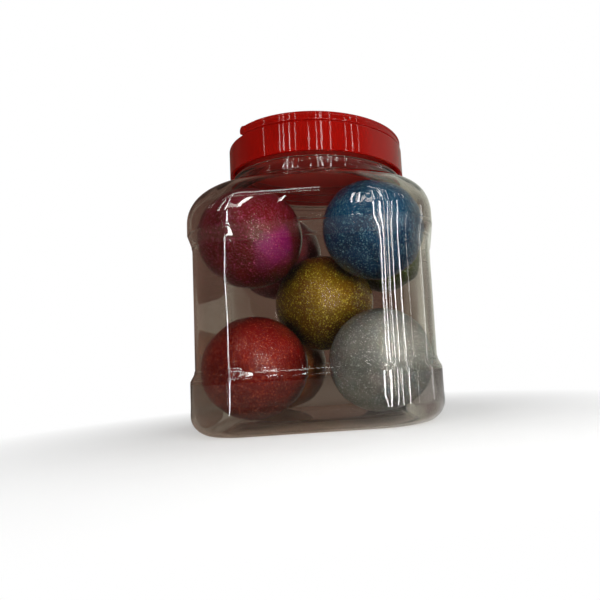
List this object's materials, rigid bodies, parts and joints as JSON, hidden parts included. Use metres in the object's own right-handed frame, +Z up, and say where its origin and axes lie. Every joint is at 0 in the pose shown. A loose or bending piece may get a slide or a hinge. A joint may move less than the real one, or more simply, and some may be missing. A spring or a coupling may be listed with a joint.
{
  "type": "jar of bouncy balls",
  "caption": "Clear rounded-square jar with a red screw lid and folding handle, packed with glitter bouncy balls that roll in place.",
  "frame": {"origin": "middle of the jar's base, on the surface it stands on", "axes": "+Z up through the neck, -Y towards the front of the jar, +X to its right"},
  "size_m": [0.1426, 0.1284, 0.1779],
  "materials": {
    "clear_pet": "clear, blow-moulded",
    "red_polypropylene": "glossy, injection-moulded",
    "red_foam": "soft expanded foam, dyed like the lid",
    "magenta_rubber": "translucent rubber with fine glitter",
    "blue_rubber": "translucent rubber with fine glitter",
    "red_rubber": "translucent rubber with fine glitter",
    "silver_rubber": "translucent rubber with fine glitter",
    "pink_rubber": "translucent rubber with fine glitter",
    "green_rubber": "translucent rubber with fine glitter",
    "orange_rubber": "translucent rubber with fine glitter",
    "dark_green_rubber": "translucent rubber with fine glitter",
    "gold_rubber": "translucent rubber with fine glitter"
  },
  "bodies": {
    "jar": {"jar": "clear_pet"},
    "liner": {"lid_liner": "red_foam"},
    "lid": {"lid": "red_polypropylene"},
    "handle": {"carry_handle": "red_polypropylene"},
    "ball_magenta": {"ball_magenta": "magenta_rubber"},
    "ball_blue": {"ball_blue": "blue_rubber"},
    "ball_red": {"ball_red": "red_rubber"},
    "ball_silver": {"ball_silver": "silver_rubber"},
    "ball_pink": {"ball_pink": "pink_rubber"},
    "ball_green": {"ball_green": "green_rubber"},
    "ball_orange": {"ball_orange": "orange_rubber"},
    "ball_dark_green": {"ball_dark_green": "dark_green_rubber"},
    "ball_gold": {"ball_gold": "gold_rubber"}
  },
  "joints": [
    {"name": "lid_rise", "type": "slide", "parent": "jar", "child": "liner", "axis": [0, 0, 1], "range_m": [0, 0.018]},
    {"name": "lid_turn", "type": "hinge", "parent": "liner", "child": "lid", "pos_m": [0, 0, 0.1549], "axis": [0, 0, 1], "range_deg": [0, 1080]},
    {"name": "handle_swing", "type": "hinge", "parent": "lid", "child": "handle", "pos_m": [0, 0, 0.17528], "axis": [-0.6691, -0.7431, 0], "range_deg": [0, 180]},
    {"name": "ball_magenta_roll", "type": "hinge", "parent": "jar", "child": "ball_magenta", "pos_m": [-0.0366, -0.03045, 0.11298], "axis": [1, 0, 0], "continuous": true},
    {"name": "ball_blue_roll", "type": "hinge", "parent": "jar", "child": "ball_blue", "pos_m": [0.0366, -0.03045, 0.11298], "axis": [1, 0, 0], "continuous": true},
    {"name": "ball_red_roll", "type": "hinge", "parent": "jar", "child": "ball_red", "pos_m": [-0.0366, -0.03045, 0.036], "axis": [1, 0, 0], "continuous": true},
    {"name": "ball_silver_roll", "type": "hinge", "parent": "jar", "child": "ball_silver", "pos_m": [0.0366, -0.03045, 0.036], "axis": [1, 0, 0], "continuous": true},
    {"name": "ball_pink_roll", "type": "hinge", "parent": "jar", "child": "ball_pink", "pos_m": [-0.0366, 0.03045, 0.11298], "axis": [1, 0, 0], "continuous": true},
    {"name": "ball_green_roll", "type": "hinge", "parent": "jar", "child": "ball_green", "pos_m": [0.0366, 0.03045, 0.11298], "axis": [1, 0, 0], "continuous": true},
    {"name": "ball_orange_roll", "type": "hinge", "parent": "jar", "child": "ball_orange", "pos_m": [-0.0366, 0.03045, 0.036], "axis": [1, 0, 0], "continuous": true},
    {"name": "ball_dark_green_roll", "type": "hinge", "parent": "jar", "child": "ball_dark_green", "pos_m": [0.0366, 0.03045, 0.036], "axis": [1, 0, 0], "continuous": true},
    {"name": "ball_gold_roll", "type": "hinge", "parent": "jar", "child": "ball_gold", "pos_m": [0, -0.0019, 0.07449], "axis": [1, 0, 0], "continuous": true}
  ],
  "couplings": [
    {"joint": "lid_rise", "follows": "lid_turn", "m_per_rad": 0.00095493}
  ]
}
